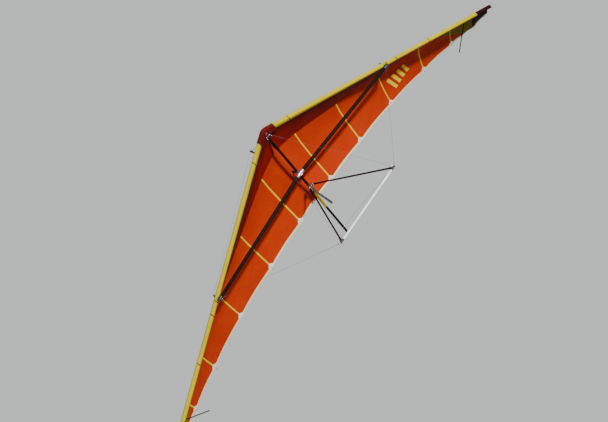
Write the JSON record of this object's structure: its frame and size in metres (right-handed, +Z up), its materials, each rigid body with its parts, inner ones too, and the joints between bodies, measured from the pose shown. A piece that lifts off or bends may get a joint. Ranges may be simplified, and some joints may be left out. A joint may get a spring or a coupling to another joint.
{
  "type": "flexible-wing hang glider",
  "caption": "Flexible-wing hang glider with swept cloth wing, triangular control frame, kingpost and wire bracing, parked on its base bar and keel end.",
  "frame": {"origin": "ground point below the middle of the bounding box, with the glider parked on its base bar fittings and keel end, nose up", "axes": "+X to the port wing tip, +Y aft, +Z up; the nose points to -Y and the keel slopes down towards +Y"},
  "size_m": [10, 2.9052, 2.1984],
  "materials": {
    "bracket_alloy": "brushed",
    "bright_tube": "polished",
    "pocket_cloth": "woven tape, matte",
    "black_fitting": "moulded, matte",
    "dark_tube": "black anodised",
    "webbing": "nylon webbing, matte",
    "sail_cloth": "woven polyester, satin",
    "wire": "coated cable",
    "dark_sail_cloth": "woven polyester, satin"
  },
  "bodies": {
    "airframe": {"apex_bracket": "bracket_alloy", "base_bar": "bright_tube", "batten_port_1": "pocket_cloth", "batten_port_2": "pocket_cloth", "batten_port_3": "pocket_cloth", "batten_port_4": "pocket_cloth", "batten_port_5": "pocket_cloth", "batten_starboard_1": "pocket_cloth", "batten_starboard_2": "pocket_cloth", "batten_starboard_3": "pocket_cloth", "batten_starboard_4": "pocket_cloth", "batten_starboard_5": "pocket_cloth", "corner_fitting_port": "black_fitting", "corner_fitting_starboard": "black_fitting", "crossbar_bracket_port": "black_fitting", "crossbar_bracket_starboard": "black_fitting", "crossbar_hinge": "bracket_alloy", "crossbar_port": "dark_tube", "crossbar_starboard": "dark_tube", "downtube_port": "dark_tube", "downtube_starboard": "dark_tube", "hang_bracket": "bracket_alloy", "keel": "dark_tube", "keel_end_cap": "black_fitting", "keel_pocket": "sail_cloth", "kingpost": "dark_tube", "kingpost_cap": "black_fitting", "kingpost_foot": "bracket_alloy", "leading_edge_port": "dark_tube", "leading_edge_starboard": "dark_tube", "lower_front_wire_port": "wire", "lower_front_wire_starboard": "wire", "lower_rear_wire_port": "wire", "lower_rear_wire_starboard": "wire", "lower_side_wire_port": "wire", "lower_side_wire_starboard": "wire", "nose_cover": "dark_sail_cloth", "nose_plates": "bracket_alloy", "sail_port": "sail_cloth", "sail_starboard": "sail_cloth", "tip_strut_port": "black_fitting", "tip_strut_starboard": "black_fitting", "upper_front_wire": "wire", "upper_rear_wire": "wire", "upper_side_wire_port": "wire", "upper_side_wire_starboard": "wire"},
    "hang_strap": {"hang_strap": "webbing"}
  },
  "joints": [
    {"name": "hang_strap_swing", "type": "hinge", "parent": "airframe", "child": "hang_strap", "pos_m": [0, 0.0198, 0.90389], "axis": [1, 0, 0], "range_deg": [-75, 45]}
  ]
}
